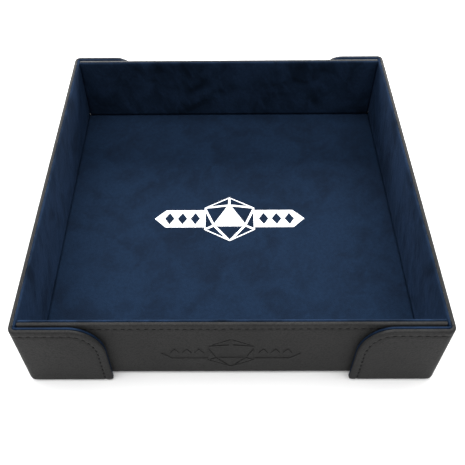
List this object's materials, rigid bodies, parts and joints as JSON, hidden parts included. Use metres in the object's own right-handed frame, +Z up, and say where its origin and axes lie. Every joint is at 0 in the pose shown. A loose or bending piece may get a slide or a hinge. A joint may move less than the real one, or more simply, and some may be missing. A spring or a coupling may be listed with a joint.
{
  "type": "folding dice tray",
  "caption": "Square folding tray for rolling dice: velvet-lined board panels in a leatherette cover, with magnetic corner tabs that hold the walls up.",
  "frame": {"origin": "centre of the underside, on the surface the tray stands on", "axes": "+Z up; +Y to the back wall, along the length over the closed tabs; +X to the right wall, seen from the front, where the debossed wall is"},
  "size_m": [0.2202, 0.2288, 0.05],
  "materials": {
    "leatherette": "black pebble-grained leatherette, semi-matt",
    "velvet": "navy short-pile velvet, matt with brushed patches",
    "greyboard": "raw bookbinding greyboard",
    "seam_thread": "black polyester sewing thread",
    "magnet": "nickel-plated magnet",
    "white_ink": "white printed ink, matt"
  },
  "bodies": {
    "floor": {"floor_leather": "leatherette", "floor_board": "greyboard", "floor_lining": "velvet", "printed_emblem": "white_ink", "front_floor_fold_leather": "leatherette", "front_floor_fold_lining": "velvet", "back_floor_fold_leather": "leatherette", "back_floor_fold_lining": "velvet", "left_floor_fold_leather": "leatherette", "left_floor_fold_lining": "velvet", "right_floor_fold_leather": "leatherette", "right_floor_fold_lining": "velvet"},
    "front_wall": {"front_wall_leather": "leatherette", "front_wall_board": "greyboard", "front_wall_lining": "velvet", "front_wall_seam": "seam_thread", "left_front_wall_magnet": "magnet", "right_front_wall_magnet": "magnet"},
    "back_wall": {"back_wall_leather": "leatherette", "back_wall_board": "greyboard", "back_wall_lining": "velvet", "back_wall_seam": "seam_thread", "left_back_wall_magnet": "magnet", "right_back_wall_magnet": "magnet"},
    "left_wall": {"left_wall_leather": "leatherette", "left_wall_board": "greyboard", "left_wall_lining": "velvet", "left_wall_seam": "seam_thread", "left_front_corner_fold_leather": "leatherette", "left_front_corner_fold_lining": "velvet", "left_back_corner_fold_leather": "leatherette", "left_back_corner_fold_lining": "velvet"},
    "right_wall": {"right_wall_leather": "leatherette", "right_wall_board": "greyboard", "right_wall_lining": "velvet", "right_wall_seam": "seam_thread", "right_front_corner_fold_leather": "leatherette", "right_front_corner_fold_lining": "velvet", "right_back_corner_fold_leather": "leatherette", "right_back_corner_fold_lining": "velvet"},
    "left_front_tab": {"left_front_tab_leather": "leatherette", "left_front_tab_board": "greyboard", "left_front_tab_lining": "velvet", "left_front_tab_seam": "seam_thread", "left_front_tab_magnet": "magnet"},
    "right_front_tab": {"right_front_tab_leather": "leatherette", "right_front_tab_board": "greyboard", "right_front_tab_lining": "velvet", "right_front_tab_seam": "seam_thread", "right_front_tab_magnet": "magnet"},
    "left_back_tab": {"left_back_tab_leather": "leatherette", "left_back_tab_board": "greyboard", "left_back_tab_lining": "velvet", "left_back_tab_seam": "seam_thread", "left_back_tab_magnet": "magnet"},
    "right_back_tab": {"right_back_tab_leather": "leatherette", "right_back_tab_board": "greyboard", "right_back_tab_lining": "velvet", "right_back_tab_seam": "seam_thread", "right_back_tab_magnet": "magnet"}
  },
  "joints": [
    {"name": "left_wall_fold", "type": "hinge", "parent": "floor", "child": "left_wall", "pos_m": [-0.10925, 0, 0.00045], "axis": [0, -1, 0], "range_deg": [0, 90], "deforming": ["left_floor_fold_leather", "left_floor_fold_lining"]},
    {"name": "right_wall_fold", "type": "hinge", "parent": "floor", "child": "right_wall", "pos_m": [0.10925, 0, 0.00045], "axis": [0, 1, 0], "range_deg": [0, 90], "deforming": ["right_floor_fold_leather", "right_floor_fold_lining"]},
    {"name": "front_wall_fold", "type": "hinge", "parent": "floor", "child": "front_wall", "pos_m": [0, -0.106, 0.004], "axis": [-1, 0, 0], "range_deg": [0, 90], "deforming": ["front_floor_fold_leather", "front_floor_fold_lining"]},
    {"name": "back_wall_fold", "type": "hinge", "parent": "floor", "child": "back_wall", "pos_m": [0, 0.106, 0.004], "axis": [1, 0, 0], "range_deg": [0, 90], "deforming": ["back_floor_fold_leather", "back_floor_fold_lining"]},
    {"name": "left_front_tab_fold", "type": "hinge", "parent": "left_wall", "child": "left_front_tab", "pos_m": [-0.10925, -0.11355, 0.025], "axis": [0, 0, -1], "range_deg": [0, 90], "deforming": ["left_front_corner_fold_leather", "left_front_corner_fold_lining"]},
    {"name": "right_front_tab_fold", "type": "hinge", "parent": "right_wall", "child": "right_front_tab", "pos_m": [0.10925, -0.11355, 0.025], "axis": [0, 0, 1], "range_deg": [0, 90], "deforming": ["right_front_corner_fold_leather", "right_front_corner_fold_lining"]},
    {"name": "left_back_tab_fold", "type": "hinge", "parent": "left_wall", "child": "left_back_tab", "pos_m": [-0.10925, 0.11355, 0.025], "axis": [0, 0, 1], "range_deg": [0, 90], "deforming": ["left_back_corner_fold_leather", "left_back_corner_fold_lining"]},
    {"name": "right_back_tab_fold", "type": "hinge", "parent": "right_wall", "child": "right_back_tab", "pos_m": [0.10925, 0.11355, 0.025], "axis": [0, 0, -1], "range_deg": [0, 90], "deforming": ["right_back_corner_fold_leather", "right_back_corner_fold_lining"]}
  ]
}
